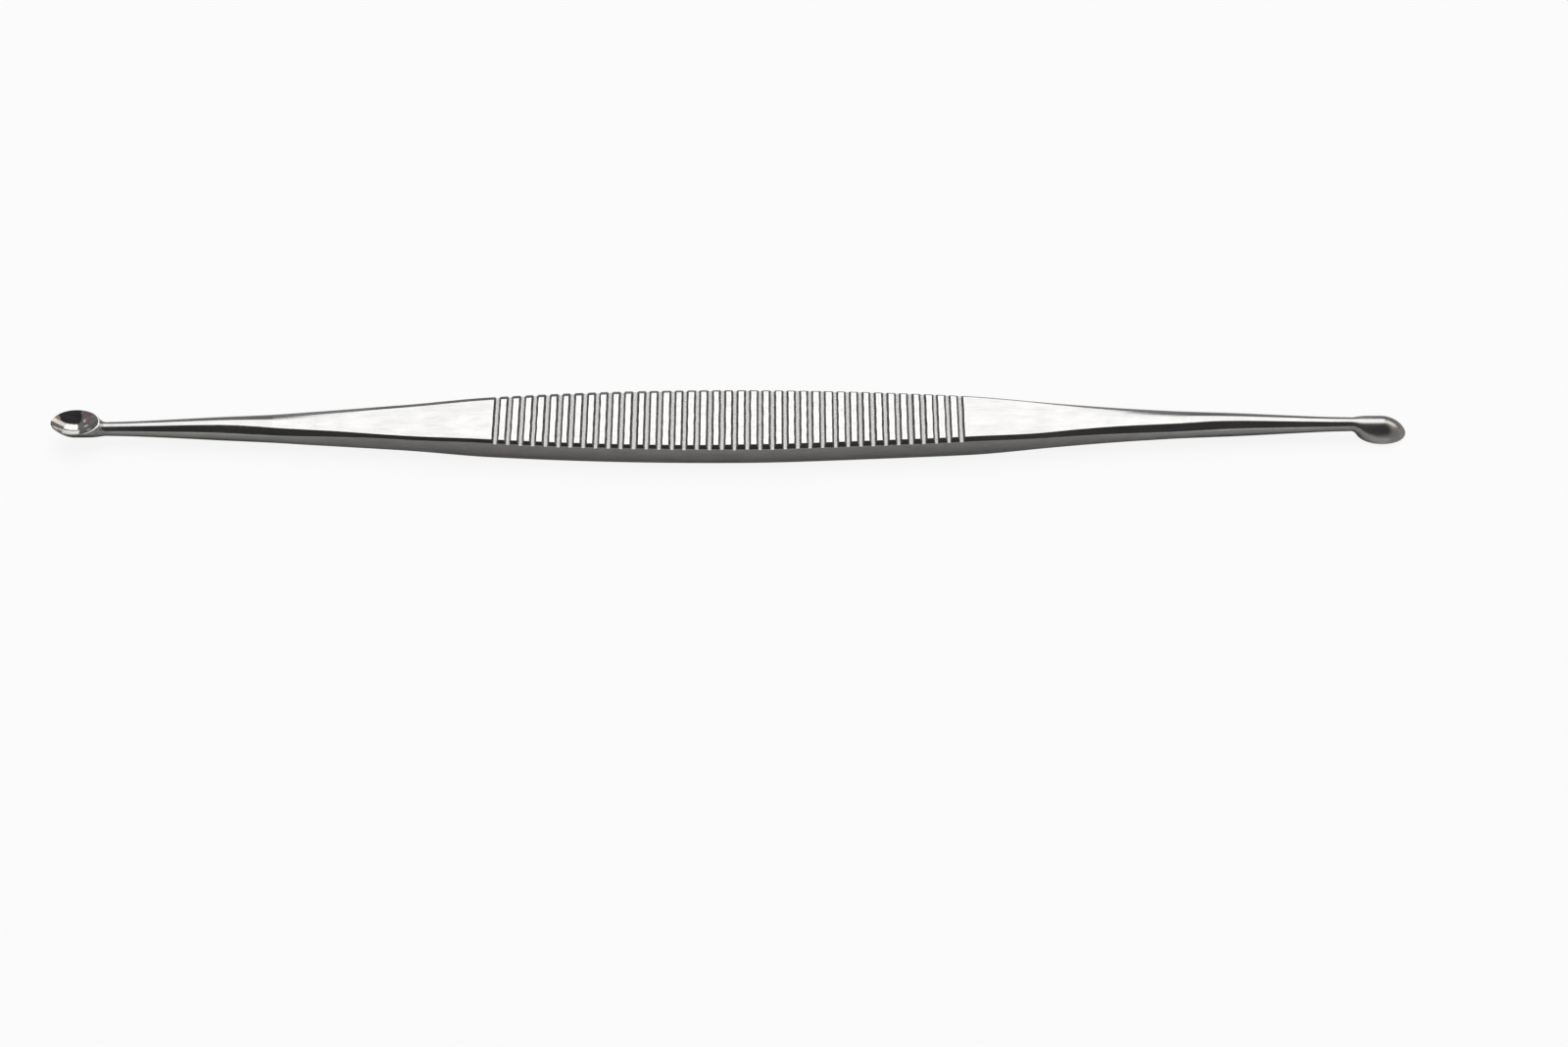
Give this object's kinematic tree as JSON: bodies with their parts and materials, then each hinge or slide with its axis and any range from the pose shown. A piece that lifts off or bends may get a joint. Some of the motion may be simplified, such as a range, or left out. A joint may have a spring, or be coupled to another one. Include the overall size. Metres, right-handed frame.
{
  "type": "bone curette",
  "caption": "Double-ended bone curette: flat grip with cross serrations and bowed sides, round tapered shanks, and a small oval cup at each end, one facing up and one down.",
  "frame": {"origin": "centre of the bounding box in X and Y, on the grip's flat underside", "axes": "+X along the instrument towards the cup that opens downwards, +Z out of the serrated face"},
  "size_m": [0.13, 0.0076, 0.0026],
  "materials": {
    "steel": "stainless steel, fine-ground on the grip and polished on the necks and in the cups"
  },
  "bodies": {
    "root": {"curette": "steel"}
  },
  "joints": []
}
